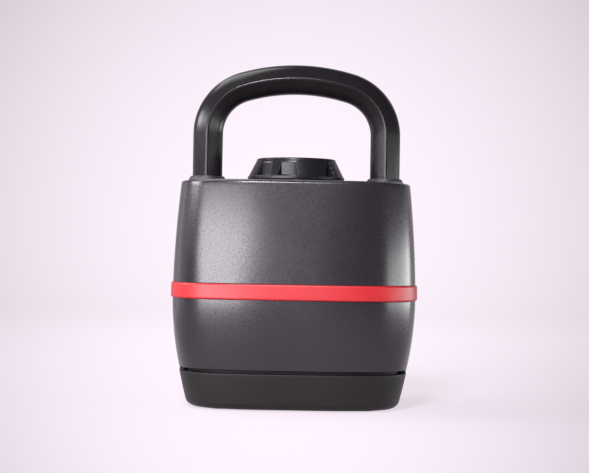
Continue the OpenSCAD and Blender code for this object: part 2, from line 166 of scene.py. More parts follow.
class Tree:
    """A new material's node tree."""

    def __init__(self, name: str) -> None:
        """Makes the material, empty.

        Args:
            name: The material's name.
        """
        self.material = bpy.data.materials.new(name)
        self.material.use_nodes = True
        self.graph = self.material.node_tree
        self.graph.nodes.clear()

    def node(
        self,
        kind: str,
        settings: Optional[Mapping[str, Any]] = None,
        inputs: Optional[Mapping[Union[int, str], Any]] = None,
        output: Union[int, str] = 0,
    ) -> Value:
        """Adds a node of any kind.

        Args:
            kind: The node's type.
            settings: Its settings, set first.
            inputs: A value or a link for each input, by name or number.
            output: The output to hand back.

        Returns:
            That output.
        """
        made = self.graph.nodes.new(kind)
        for name, value in (settings or {}).items():
            setattr(made, name, value)
        for key, value in (inputs or {}).items():
            if isinstance(value, Value):
                self.graph.links.new(value.socket, made.inputs[key])
            else:
                made.inputs[key].default_value = value
        return Value(self, made.outputs[output] if len(made.outputs) else made.inputs[0])

    def place(self) -> Value:
        """The point on the surface, in metres."""
        return self.node("ShaderNodeTexCoord", output="Object")

    def axes(self, at: Value) -> Tuple[Value, Value, Value]:
        """The three parts of a point.

        Args:
            at: The point.

        Returns:
            Its x, y and z.
        """
        parts = self.node("ShaderNodeSeparateXYZ", inputs={0: at})
        outputs = parts.socket.node.outputs
        return Value(self, outputs[0]), Value(self, outputs[1]), Value(self, outputs[2])

    def noise(self, at: Value, size: float, detail: float = 2.0, rough: float = 0.5) -> Value:
        """Cloudy noise from 0 to 1.

        Args:
            at: The point.
            size: The size of its largest blots, in metres.
            detail: How many finer layers it has.
            rough: How strong the finer layers are.

        Returns:
            The noise.
        """
        return self.node(
            "ShaderNodeTexNoise",
            inputs={"Vector": at, "Scale": 1 / size, "Detail": detail, "Roughness": rough},
        )

    def cells(self, at: Value, size: float) -> Value:
        """Distance to scattered points, from 0 up.

        Args:
            at: The point.
            size: The spacing of the points, in metres.

        Returns:
            The distance, as a share of the spacing.
        """
        return self.node("ShaderNodeTexVoronoi", inputs={"Vector": at, "Scale": 1 / size})

    def shade(self, colour: Colour, tone: Number) -> Value:
        """A colour made lighter or darker.

        Args:
            colour: The colour.
            tone: What it is multiplied by.

        Returns:
            The colour.
        """
        return self.node(
            "ShaderNodeVectorMath", {"operation": "SCALE"}, {0: colour, "Scale": tone}
        )

    def blend(self, share: Number, first: Any, second: Any) -> Value:
        """Mixes two colours.

        Args:
            share: 0 for the first, 1 for the second.
            first: The first colour.
            second: The second colour.

        Returns:
            The mixed colour.
        """
        factor, colour_a, colour_b, colour_out = 0, 6, 7, 2
        pair = [c if isinstance(c, Value) else (*c, 1.0) for c in (first, second)]
        return self.node(
            "ShaderNodeMix",
            {"data_type": "RGBA"},
            {factor: share, colour_a: pair[0], colour_b: pair[1]},
            colour_out,
        )

    def edges(self) -> Value:
        """How sharply the surface turns outward: 0.5 where it is flat."""
        return self.node("ShaderNodeNewGeometry", output="Pointiness")

    def surface(
        self, colour: Any, roughness: Number, height: Value, depth: float, **fixed: float
    ) -> bpy.types.Material:
        """Joins the parts of a finish on one shader.

        Args:
            colour: The base colour.
            roughness: The roughness.
            height: The relief, from 0 to 1.
            depth: The relief's depth, in metres.
            fixed: Constants for the shader's own sockets, with _ for a space.

        Returns:
            The finished material.
        """
        relief = self.node("ShaderNodeBump", inputs={"Distance": depth, "Height": height})
        inputs: Dict[Union[int, str], Any] = {
            "Base Color": colour,
            "Roughness": roughness,
            "Normal": relief,
        }
        inputs.update({name.replace("_", " "): value for name, value in fixed.items()})
        shader = self.node("ShaderNodeBsdfPrincipled", inputs=inputs)
        self.node("ShaderNodeOutputMaterial", inputs={"Surface": shader})
        return self.material


# ---------------------------------------------------------------- finishes


@dataclass(frozen=True)
class MouldedPlastic:
    """Plastic with a fine spark-eroded texture, faintly clouded and rubbed.

    The grain and the pits make the texture, the clouds vary it over a hand's width, and the rubbed
    spots are a little paler and smoother.
    """

    name: str
    colour: Colour
    roughness: float = 0.5
    grain: float = 0.55 * MM
    depth: float = 0.03 * MM
    speck: float = 0.12
    specular: float = 0.5
    pit_size: float = 1.7
    pit_gloss: float = 0.2
    cloud: float = 60 * MM
    cloud_tone: float = 0.10
    cloud_gloss: float = 0.08
    rub: float = 9 * MM
    rub_amount: float = 0.03

    def material(self) -> bpy.types.Material:
        """Builds the material.

        Returns:
            The material.
        """
        tree = Tree(self.name)
        at = tree.place()
        grain = tree.noise(at, self.grain, 2.0, 0.6)
        pits = tree.noise(at, self.pit_size * self.grain, 1.0, 0.5)
        broad = tree.noise(at, self.cloud, 3.0, 0.5)
        rub = tree.noise(at, self.rub, 4.0, 0.65).ease(0.62, 0.8) * self.rub_amount
        tone = 1 + (broad - 0.5) * self.cloud_tone + (grain - 0.5) * self.speck + rub
        rough = self.roughness + (broad - 0.5) * self.cloud_gloss + (pits - 0.5) * self.pit_gloss - rub
        return tree.surface(
            tree.shade(self.colour, tone),
            rough,
            grain * 0.6 + pits * 0.4,
            self.depth,
            Specular_IOR_Level=self.specular,
        )


@dataclass(frozen=True)
class PowderCoat:
    """Black powder coat with a little orange peel, polished where a hand holds it."""

    name: str
    colour: Colour
    roughness: float = 0.27
    specular: float = 0.18
    peel: float = 1.1 * MM
    grit: float = 0.35 * MM
    cloud: float = 35 * MM
    depth: float = 0.04 * MM
    held_above: float = 270 * MM
    held_over: float = 40 * MM

    def material(self) -> bpy.types.Material:
        """Builds the material.

        Returns:
            The material.
        """
        tree = Tree(self.name)
        at = tree.place()
        peel = tree.noise(at, self.peel, 1.0, 0.4)
        fine = tree.noise(at, self.grit, 2.0, 0.6)
        broad = tree.noise(at, self.cloud, 3.0, 0.55)
        _, _, height = tree.axes(at)
        held = height.ease(self.held_above, self.held_above + self.held_over)
        tone = 1 + (broad - 0.5) * 0.25 + (fine - 0.5) * 0.2
        rough = self.roughness + (broad - 0.5) * 0.1 + (fine - 0.5) * 0.08 - held * 0.04
        return tree.surface(
            tree.shade(self.colour, tone),
            rough,
            peel * 0.7 + fine * 0.3,
            self.depth,
            Specular_IOR_Level=self.specular,
        )


@dataclass(frozen=True)
class SatinBand:
    """Coloured satin plastic with faint moulding flow lines."""

    name: str
    colour: Colour
    deep: Colour
    roughness: float = 0.42
    specular: float = 0.33
    grain: float = 0.5 * MM
    flow: float = 45 * MM
    depth: float = 0.02 * MM

    def material(self) -> bpy.types.Material:
        """Builds the material.

        Returns:
            The material.
        """
        tree = Tree(self.name)
        at = tree.place()
        fine = tree.noise(at, self.grain, 2.0, 0.6)
        broad = tree.noise(at, self.flow, 3.0, 0.5)
        share = (broad * 0.6 + fine * 0.4).ease(0.3, 0.75)
        colour = tree.blend(share, self.colour, self.deep)
        rough = self.roughness + (broad - 0.5) * 0.1 + (fine - 0.5) * 0.08
        return tree.surface(colour, rough, fine, self.depth, Specular_IOR_Level=self.specular)


@dataclass(frozen=True)
class Rubber:
    """Matte black rubber with a dusty bloom."""

    name: str
    colour: Colour
    roughness: float = 0.78
    grain: float = 0.3 * MM
    bloom: float = 14 * MM
    depth: float = 0.04 * MM

    def material(self) -> bpy.types.Material:
        """Builds the material.

        Returns:
            The material.
        """
        tree = Tree(self.name)
        at = tree.place()
        fine = tree.noise(at, self.grain, 3.0, 0.6)
        bloom = tree.noise(at, self.bloom, 4.0, 0.6).ease(0.4, 0.8)
        tone = 1 + bloom * 0.5 + (fine - 0.5) * 0.3
        rough = self.roughness + bloom * 0.1
        return tree.surface(tree.shade(self.colour, tone), rough, fine, self.depth)


@dataclass(frozen=True)
class CoatedIron:
    """Sand-cast iron under a thin black coat, bare where edges rub."""

    name: str
    coat: Colour
    bare: Colour
    roughness: float = 0.55
    sand: float = 1.1 * MM
    dent: float = 2.6 * MM
    cloud: float = 22 * MM
    depth: float = 0.12 * MM

    def material(self) -> bpy.types.Material:
        """Builds the material.

        Returns:
            The material.
        """
        tree = Tree(self.name)
        at = tree.place()
        sand = tree.noise(at, self.sand, 4.0, 0.65)
        dents = tree.cells(at, self.dent)
        broad = tree.noise(at, self.cloud, 4.0, 0.6)
        worn = (tree.edges() + (broad - 0.5) * 0.06).ease(0.53, 0.6)
        tone = 0.8 + broad * 0.4 + (sand - 0.5) * 0.5
        colour = tree.blend(worn, tree.shade(self.coat, tone), self.bare)
        rough = self.roughness + (sand - 0.5) * 0.3 - worn * 0.15
        return tree.surface(colour, rough, sand * 0.75 + dents * 0.25, self.depth)


@dataclass(frozen=True)
class TurnedSteel:
    """Machined steel with fine tool lines round the Z axis."""

    name: str
    colour: Colour
    roughness: float = 0.3
    pitch: float = 0.35 * MM
    cloud: float = 8 * MM
    depth: float = 0.01 * MM

    def material(self) -> bpy.types.Material:
        """Builds the material.

        Returns:
            The material.
        """
        tree = Tree(self.name)
        at = tree.place()
        x, y, z = tree.axes(at)
        radius = (x * x + y * y) ** 0.5
        lines = ((radius + z) * (TURN / self.pitch)).wave() * 0.5 + 0.5
        broad = tree.noise(at, self.cloud, 4.0, 0.6)
        tone = 0.9 + broad * 0.15 + (lines - 0.5) * 0.08
        return tree.surface(
            tree.shade(self.colour, tone),
            self.roughness + broad * 0.12,
            lines * 0.6 + broad * 0.4,
            self.depth,
            Metallic=1.0,
        )


@dataclass(frozen=True)
class MarkPaint:
    """Pad-printed paint, slightly uneven."""

    name: str
    colour: Colour
    roughness: float = 0.5
    grain: float = 0.4 * MM
    depth: float = 0.01 * MM

    def material(self) -> bpy.types.Material:
        """Builds the material.

        Returns:
            The material.
        """
        tree = Tree(self.name)
        at = tree.place()
        fine = tree.noise(at, self.grain, 3.0, 0.6)
        colour = tree.shade(self.colour, 0.9 + fine * 0.2)
        return tree.surface(colour, self.roughness + fine * 0.15, fine, self.depth)


@dataclass(frozen=True)
class Backdrop:
    """Pale paper with a painted pool of light, brightest along an axis from lamp_y; in glow's share it
    glows.

    The painted tone is peak on the axis and falls with the square of the angle off it, down to least. The
    near part of the floor has painted shade, darker by the share in ground, and rises to full tone
    from dim_to to bright_from.
    """

    name: str
    tint: Colour
    lamp_y: float
    glow: float = 0.85
    axis_z: float = 0.156
    peak: float = 1.075
    fall: float = 6.4
    least: float = 0.6
    nearest: float = 0.45
    ground: float = 0.84
    dim_to: float = -0.1
    bright_from: float = 1.3

    def material(self) -> bpy.types.Material:
        """Builds the material.

        Returns:
            The material.
        """
        tree = Tree(self.name)
        x, y, z = tree.axes(tree.place())
        # Painted pool of light: the tone falls with the square of the angle off an axis running back from
        # lamp_y, and the paper glows with it in glow's share.
        throw = (y - self.lamp_y).at_least(self.nearest)
        off = z - self.axis_z
        spread = (x * x + off * off) / (throw * throw)
        tone = (self.peak - spread * self.fall).at_least(self.least)
        # Painted shade on the near floor, darker by ground, to offset the lamps' light there.
        lift = y.ease(self.dim_to, self.bright_from)
        tone = tone * (lift * (1.0 - self.ground) + self.ground)
        colour = tree.shade(self.tint, tone)
        paper = tree.node("ShaderNodeBsdfDiffuse", inputs={"Color": colour})
        light = tree.node("ShaderNodeEmission", inputs={"Color": colour})
        both = tree.node("ShaderNodeMixShader", inputs={0: self.glow, 1: paper, 2: light})
        tree.node("ShaderNodeOutputMaterial", inputs={"Surface": both})
        return tree.material


@dataclass(frozen=True)
class Finishes:
    """Every finish on the kettlebell, built once."""

    shell: bpy.types.Material
    tray: bpy.types.Material
    cover: bpy.types.Material
    band: bpy.types.Material
    handle: bpy.types.Material
    dial: bpy.types.Material
    rubber: bpy.types.Material
    bushing: bpy.types.Material
    iron: bpy.types.Material
    steel: bpy.types.Material
    paint: bpy.types.Material

    @classmethod
    def make(cls) -> "Finishes":
        """Builds every material.

        Returns:
            The finishes.
        """
        return cls(
            shell=MouldedPlastic(
                "shell grey plastic",
                (0.0095, 0.0078, 0.0105),
                roughness=0.265,
                depth=0.014 * MM,
                speck=0.5,
                specular=0.42,
            ).material(),
            tray=MouldedPlastic(
                "tray black plastic",
                (0.0060, 0.0050, 0.0056),
                roughness=0.52,
                depth=0.014 * MM,
                speck=0.5,
                specular=0.20,
            ).material(),
            cover=MouldedPlastic("cover black plastic", (0.010, 0.0095, 0.011)).material(),
            band=SatinBand(
                "band red plastic", (0.275, 0.0095, 0.012), deep=(0.235, 0.0065, 0.0085)
            ).material(),
            handle=PowderCoat("handle black coat", (0.006, 0.0052, 0.006)).material(),
            dial=MouldedPlastic(
                "dial black plastic",
                (0.005, 0.0046, 0.0055),
                roughness=0.33,
                grain=0.45 * MM,
                depth=0.02 * MM,
                specular=0.22,
            ).material(),
            rubber=Rubber("black rubber", (0.016, 0.016, 0.017)).material(),
            bushing=MouldedPlastic("bushing plastic", (0.02, 0.02, 0.022), roughness=0.4).material(),
            iron=CoatedIron("coated iron", (0.03, 0.03, 0.033), bare=(0.2, 0.2, 0.21)).material(),
            steel=TurnedSteel("turned steel", (0.55, 0.55, 0.57)).material(),
            paint=MarkPaint("mark paint", (0.62, 0.62, 0.62)).material(),
        )


# ---------------------------------------------------------------- mesh tools


class Cut(Enum):
    """What a cutting solid does to a piece."""

    AWAY = "DIFFERENCE"
    KEEP_COMMON = "INTERSECT"


def mesh_piece(
    name: str, points: np.ndarray, faces: Sequence[Sequence[int]], sharp_angle: float = 40.0
) -> bpy.types.Object:
    """Makes a smooth-shaded piece, sharp only where faces meet steeply.

    Args:
        name: The piece's name.
        points: Its points, one row each.
        faces: Its faces, as point numbers.
        sharp_angle: The angle over which an edge stays sharp, in degrees.

    Returns:
        The object, in the scene.
    """
    mesh = bpy.data.meshes.new(name)
    mesh.from_pydata(points.tolist(), [], [list(f) for f in faces])
    build = bmesh.new()
    build.from_mesh(mesh)
    bmesh.ops.recalc_face_normals(build, faces=build.faces)
    build.to_mesh(mesh)
    build.free()
    smooth_mesh(mesh, sharp_angle)
    made = bpy.data.objects.new(name, mesh)
    bpy.context.scene.collection.objects.link(made)
    return made


def smooth_mesh(mesh: bpy.types.Mesh, sharp_angle: float) -> None:
    """Shades a mesh smooth, with sharp edges over an angle.

    Args:
        mesh: The mesh.
        sharp_angle: The angle, in degrees.
    """
    mesh.polygons.foreach_set("use_smooth", [True] * len(mesh.polygons))
    mesh.set_sharp_from_angle(angle=math.radians(sharp_angle))
    mesh.update()


def skin(
    name: str, rows: np.ndarray, joined: bool, sharp_angle: float = 40.0
) -> bpy.types.Object:
    """Makes a piece from rings of points.

    Args:
        name: The piece's name.
        rows: The rings: ring, point, coordinate.
        joined: True joins the last ring to the first; False caps both ends.
        sharp_angle: The angle over which an edge stays sharp, in degrees.

    Returns:
        The object.
    """
    rings, count, _ = rows.shape
    faces: List[List[int]] = []
    for k in range(rings if joined else rings - 1):
        low, high = k * count, ((k + 1) % rings) * count
        for i in range(count):
            j = (i + 1) % count
            faces.append([low + i, high + i, high + j, low + j])
    if not joined:
        faces.append(list(range(count)))
        faces.append([(rings - 1) * count + i for i in reversed(range(count))])
    return mesh_piece(name, rows.reshape(-1, 3), faces, sharp_angle)


def carve(
    piece: bpy.types.Object, tool: bpy.types.Object, how: Cut, sharp_angle: float
) -> None:
    """Cuts a piece with a solid, and removes the solid.

    Args:
        piece: The piece.
        tool: The cutting solid.
        how: What to take away.
        sharp_angle: The angle over which an edge stays sharp, in degrees.
    """
    step = piece.modifiers.new("carve", "BOOLEAN")
    step.operation, step.solver, step.object = how.value, "EXACT", tool
    graph = bpy.context.evaluated_depsgraph_get()
    mesh = bpy.data.meshes.new_from_object(piece.evaluated_get(graph))
    piece.modifiers.clear()
    piece.data = mesh
    smooth_mesh(mesh, sharp_angle)
    bpy.data.objects.remove(tool)


def join(first: bpy.types.Object, others: Sequence[bpy.types.Object]) -> None:
    """Adds other pieces' meshes to the first one, and removes them.

    Args:
        first: The piece that stays.
        others: The pieces that go into it.
    """
    build = bmesh.new()
    build.from_mesh(first.data)
    for other in others:
        build.from_mesh(other.data)
    build.to_mesh(first.data)
    build.free()
    for other in others:
        bpy.data.objects.remove(other)


def prism_along_x(name: str, outline: Sequence[Point], low: float, high: float) -> bpy.types.Object:
    """A solid with an outline in Y and Z, from one X to another.

    Args:
        name: The solid's name.
        outline: The outline's (y, z) points, in order.
        low: Its lowest x.
        high: Its highest x.

    Returns:
        The object.
    """
    rows = np.array([[(x, y, z) for y, z in outline] for x in (low, high)])
    return skin(name, rows, joined=False)


def hull(points: Sequence[Point]) -> List[Point]:
    """The convex outline round some points.

    Args:
        points: The points.

    Returns:
        The outline, in order.
    """
    ordered = sorted(set((round(a, 9), round(b, 9)) for a, b in points))

    def chain(items: Sequence[Point]) -> List[Point]:
        """One side of the outline.

        Args:
            items: The points, sorted.

        Returns:
            The side, without its last point.
        """
        out: List[Point] = []
        for p in items:
            while len(out) > 1 and (
                (out[-1][0] - out[-2][0]) * (p[1] - out[-2][1])
                - (out[-1][1] - out[-2][1]) * (p[0] - out[-2][0])
            ) <= 0:
                out.pop()
            out.append(p)
        return out[:-1]

    return chain(ordered) + chain(ordered[::-1])


def above(outline: Sequence[Point], level: float) -> List[Point]:
    """The part of an outline over a level.

    Args:
        outline: The outline's (y, z) points.
        level: The lowest z to keep.

    Returns:
        The clipped outline.
    """
    out: List[Point] = []
    for (ya, za), (yb, zb) in zip(outline, list(outline[1:]) + [outline[0]]):
        if za >= level:
            out.append((ya, za))
        if (za >= level) != (zb >= level):
            share = (level - za) / (zb - za)
            out.append((ya + share * (yb - ya), level))
    return out


def turned_rows(profile: Sequence[Level], count: int) -> np.ndarray:
    """Rings round the Z axis.

    Args:
        profile: The (radius, height) of each ring.
        count: How many points a ring has.

    Returns:
        The rings: ring, point, coordinate.
    """
    t = np.arange(count) * TURN / count
    return np.stack(
        [np.stack([r * np.cos(t), r * np.sin(t), np.full(count, z)], 1) for r, z in profile]
    )


def steps(first: float, last: float, count: int) -> List[float]:
    """Evenly spaced values, both ends included."""
    return [first + (last - first) * k / count for k in range(count + 1)]


def quarter(start: Level, end: Level, out_first: bool, count: int = 6) -> List[Level]:
    """A quarter of an ellipse between two levels.

    Args:
        start: Where it starts, as (inset, height).
        end: Where it ends.
        out_first: True if it starts out along the height, False along the inset.
        count: How many steps it has.

    Returns:
        The levels, without the start.
    """
    made: List[Level] = []
    for k in range(1, count + 1):
        a = math.pi / 2 * k / count
        along, across = (1 - math.cos(a), math.sin(a)) if out_first else (math.sin(a), 1 - math.cos(a))
        made.append(
            (start[0] + (end[0] - start[0]) * along, start[1] + (end[1] - start[1]) * across)
        )
    return made


def settle(
    piece: bpy.types.Object,
    body: str,
    material: bpy.types.Material,
    slot: str,
    *stands_for: str,
) -> bpy.types.Object:
    """Gives a new piece its finish and its body, and hides the frame nodes it stands for.

    Args:
        piece: The piece.
        body: The body it moves with.
        material: Its finish.
        slot: The record's material slot; not used.
        stands_for: The frame nodes it replaces.

    Returns:
        The piece.
    """
    piece.data.materials.clear()
    piece.data.materials.append(material)
    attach(piece, body)
    if stands_for:
        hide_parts(*stands_for)
    LOG.info("%s rides on %s, %d faces", piece.name, body, len(piece.data.polygons))
    return piece


# ---------------------------------------------------------------- body outline


@dataclass(frozen=True)
class Barrel:
    """The outline that the shells, the band and the tray share.

    In plan it is a superellipse, flattened front and back; up the side it bulges at the waist.
    """

    half_width: float
    waist: float = 98 * MM
    half_flat: float = 24.3 * MM
    power: float = 3.6
    top_draw: float = 5.8 * MM
    top_level: float = 199 * MM
    foot_draw: float = 13 * MM
    foot_level: float = 7 * MM
    draw_power: float = 1.8
    count: int = 288

    def side(self, z: float) -> float:
        """Half the width at a height.

        Args:
            z: The height.

        Returns:
            The half width.
        """
        draw, level = (
            (self.top_draw, self.top_level) if z > self.waist else (self.foot_draw, self.foot_level)
        )
        share = abs(z - self.waist) / abs(level - self.waist)
        return self.half_width - draw * share**self.draw_power

    def ring(self, half: float, z: float) -> np.ndarray:
        """A ring of points on the plan outline.

        Args:
            half: The ring's half width.
            z: Its height.

        Returns:
            The points.
        """
        t = np.arange(self.count) * TURN / self.count
        c, s = np.cos(t), np.sin(t)
        deep = half - self.half_flat
        r = ((np.abs(c) / half) ** self.power + (np.abs(s) / deep) ** self.power) ** (-1 / self.power)
        return np.stack([r * c, r * s, np.full(self.count, z)], 1)

    def inset(self, levels: Sequence[Level]) -> np.ndarray:
        """Rings set in from the side of the barrel.

        Args:
            levels: (inset, height) pairs.

        Returns:
            The rings.
        """
        return np.stack([self.ring(self.side(z) - d, z) for d, z in levels])


# ---------------------------------------------------------------- sub-assemblies


@dataclass
class Shell:
    """Upper and lower shell with the band between them.

    The sizes are plan half widths (opening, ledge, flange), or depths into the wall and drops below
    the edge they start from.
    """

    barrel: Barrel
    wall: float = 3 * MM
    seat: float = 1.2 * MM
    lip_round: float = 0.35 * MM
    rim_round: float = 2.2 * MM
    foot_round: float = 0.9 * MM
    foot_inner: float = 0.6 * MM
    opening: float = 101 * MM
    opening_bevel: float = 0.3 * MM
    ledge: float = 93 * MM
    ledge_drop: float = 4.2 * MM
    ledge_thick: float = 4 * MM
    ledge_slope: float = 12 * MM
    flange: float = 100 * MM
    flange_drop: float = 3 * MM
    band_round: float = 1.5 * MM
    window_gap: float = 1.3 * MM
    sharp: float = 32.0

    def __post_init__(self) -> None:
        """Reads the levels from the frame."""
        upper, lower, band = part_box("upper_shell"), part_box("lower_shell"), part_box("accent_band")
        self.rim = upper[1].z
        self.low = lower[0].z
        self.band_low, self.band_high = band[0].z, band[1].z
        self.middle = upper[0].z
        self.proud = band[1].x - self.barrel.half_width
        self.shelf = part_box("chassis_plate")[0].z

    def upper(self) -> bpy.types.Object:
        """Builds the upper shell.

        Returns:
            The shell.
        """
        b, z0, z1 = self.barrel, self.band_high, self.rim
        r = self.lip_round
        outside: List[Level] = [(self.wall, self.middle), (self.seat, self.middle), (self.seat, z0), (r, z0)]
        outside += quarter((r, z0), (0.0, z0 + r), False, 3)
        outside += [(0.0, z) for z in steps(z0 + 2 * r, z1 - self.rim_round, 30)]
        outside += quarter((0.0, z1 - self.rim_round), (0.8 * self.rim_round, z1), True, 8)
        under = z1 - self.ledge_drop
        foot = under - self.ledge_thick
        w, e = self.opening, self.opening_bevel
        inside = [(w + e, z1), (w, z1 - e), (w, under), (self.ledge, under), (self.ledge, foot)]
        hung = [(self.wall, z) for z in steps(foot - self.ledge_slope, self.shelf + MM, 12)]
        shelf = [(self.flange, self.shelf), (self.flange, self.shelf - self.flange_drop)]
        low = [(self.wall, self.shelf - self.flange_drop), (self.wall, z0)]
        rows = np.concatenate(
            [
                b.inset(outside),
                np.stack([b.ring(a, z) for a, z in inside]),
                b.inset(hung),
                b.inset([(self.wall, self.shelf)]),
                np.stack([b.ring(a, z) for a, z in shelf]),
                b.inset(low),
            ]
        )
        return skin("shell_upper", rows, joined=True, sharp_angle=self.sharp)

    def lower(self, window: Sequence[Point]) -> bpy.types.Object:
        """Builds the lower shell, with a window in each side.

        Args:
            window: The window's outline, as (y, z) points.

        Returns:
            The object.
        """
        b, z0, z1, r = self.barrel, self.low, self.band_low, self.lip_round
        e, q = self.foot_inner, self.foot_round
        levels: List[Level] = [(self.wall, z) for z in steps(self.middle, z0 + e, 16)]
        levels += quarter((self.wall, z0 + e), (self.wall - e, z0), True, 3)
        levels += [(q, z0)] + quarter((q, z0), (0.0, z0 + q), False, 5)
        levels += [(0.0, z) for z in steps(z0 + 1.6 * MM, z1 - 2 * r, 24)]
        levels += [(0.0, z1 - r)] + quarter((0.0, z1 - r), (r, z1), True, 3)
        levels += [(self.seat, z1), (self.seat, self.middle)]
        made = skin("shell_lower", b.inset(levels), joined=True, sharp_angle=self.sharp)
        reach = 2 * b.half_width
        carve(made, prism_along_x("window", window, -reach, reach), Cut.AWAY, self.sharp)
        return made

    def band(self) -> bpy.types.Object:
        """Builds the band, with rounded edges.

        Returns:
            The band.
        """
        lo, hi, p, q = self.band_low, self.band_high, self.proud, self.band_round
        levels: List[Level] = [(self.seat, z) for z in steps(hi, lo, 6)]
        levels += [(-p + q, lo)] + quarter((-p + q, lo), (-p, lo + q), False, 6)
        levels += [(-p, z) for z in steps(lo + 1.4 * q, hi - 1.4 * q, 8)]
        levels += [(-p, hi - q)] + quarter((-p, hi - q), (-p + q, hi), True, 6)
        return skin("band", self.barrel.inset(levels), joined=True, sharp_angle=40)

    def build(self, finishes: Finishes, window: Sequence[Point]) -> None:
        """Builds and dresses the three pieces.

        Args:
            finishes: The finishes.
            window: The side window's outline.
        """
        settle(self.upper(), "kettlebell", finishes.shell, "shell_grey", "upper_shell")
        settle(self.lower(window), "kettlebell", finishes.shell, "shell_grey", "lower_shell")
        settle(self.band(), "kettlebell", finishes.band, "band_red", "accent_band")


@dataclass
class Tray:
    """Base tray with an ear standing up on each side."""

    barrel: Barrel
    height: float = 33.6 * MM
    foot_round: float = 6 * MM
    edge_round: float = 0.9 * MM
    lip_inset: float = 6.5 * MM
    lip_rise: float = 5.5 * MM
    lip_wall: float = 2 * MM
    lip_round: float = 0.7 * MM
    well: float = 96.4 * MM
    well_top: float = 16 * MM
    well_draft: float = 0.8 * MM
    floor: float = 6 * MM
    ear_inset: float = 0.8 * MM
    ear_wall: float = 3 * MM
    ear_root: float = 1.2 * MM
    ear_round: float = 9 * MM
    ear_half: float = 40 * MM
    ear_half_below: float = 12 * MM
    ear_top_half: float = 33 * MM
    sharp: float = 35.0

    def __post_init__(self) -> None:
        """Reads the levels from the frame."""
        low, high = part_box("base_tray")
        self.bottom, self.ear_top = low.z, high.z

    def ear_outline(self, gap: float) -> List[Point]:
        """The side view of an ear.

        Args:
            gap: How much it is grown all round.

        Returns:
            The outline's (y, z) points.
        """
        r = self.ear_round
        spots = [
            (s * (half - r), z)
            for s in (-1, 1)
            for half, z in (
                (self.ear_top_half, self.ear_top - r),
                (self.ear_half, self.height - self.ear_half_below),
            )
        ]
        return hull(
            [
                (y + (r + gap) * math.cos(a), z + (r + gap) * math.sin(a))
                for y, z in spots
                for a in steps(0, TURN, 64)
            ]
        )

    def pan(self) -> bpy.types.Object:
        """Builds the tray itself.

        Returns:
            The tray, without its ears.
        """
        b, z0, h, q, e = self.barrel, self.bottom, self.height, self.foot_round, self.edge_round
        levels: List[Level] = [(q, z0)] + quarter((q, z0), (0.0, z0 + q), False, 12)
        levels += [(0.0, z) for z in steps(z0 + q + MM, h - 1.2 * MM, 10)]
        levels += quarter((0.0, h - e), (e, h), True, 5)
        lip, back, r, top = self.lip_inset, self.lip_inset + self.lip_wall, self.lip_round, h + self.lip_rise
        levels += [(lip - 0.2 * MM, h), (lip, h + 0.2 * MM), (lip, top - r)]
        levels += quarter((lip, top - r), (lip + r, top), True, 4)
        levels += [(back - 0.4 * MM, top), (back - 0.1 * MM, top - 0.3 * MM), (back, h)]
        rows = b.inset(levels)
        flat = [rows[0] * (k, k, 1) for k in (0.12, 0.35, 0.6, 0.82, 0.95)]
        inner = [
            b.ring(self.well + self.well_draft, self.well_top),
            b.ring(self.well, z0 + self.floor + MM),
            b.ring(self.well - MM, z0 + self.floor),
        ]
        inner += [inner[-1] * (k, k, 1) for k in (0.85, 0.6, 0.35, 0.12)]
        return skin("tray", np.concatenate([np.stack(flat), rows, np.stack(inner)]), False, self.sharp)

    def ears(self) -> bpy.types.Object:
        """Builds both ears.

        Returns:
            Both ears, as one object.
        """
        low = self.height - self.ear_root
        top = self.ear_top + MM
        d, w = self.ear_inset, self.ear_wall
        levels = [(d, z) for z in steps(low - MM, top, 20)]
        levels += [(d + w, z) for z in steps(top, low - MM, 8)]
        made = skin("ears", self.barrel.inset(levels), joined=True)
        reach = 2 * self.barrel.half_width
        tool = prism_along_x("ear_tool", above(self.ear_outline(0.0), low), -reach, reach)
        carve(made, tool, Cut.KEEP_COMMON, self.sharp)
        return made

    def build(self, finishes: Finishes) -> None:
        """Builds and dresses the tray.

        Args:
            finishes: The finishes.
        """
        tray = self.pan()
        join(tray, [self.ears()])
        smooth_mesh(tray.data, self.sharp)
        settle(tray, "base", finishes.tray, "tray_black", "base_tray")


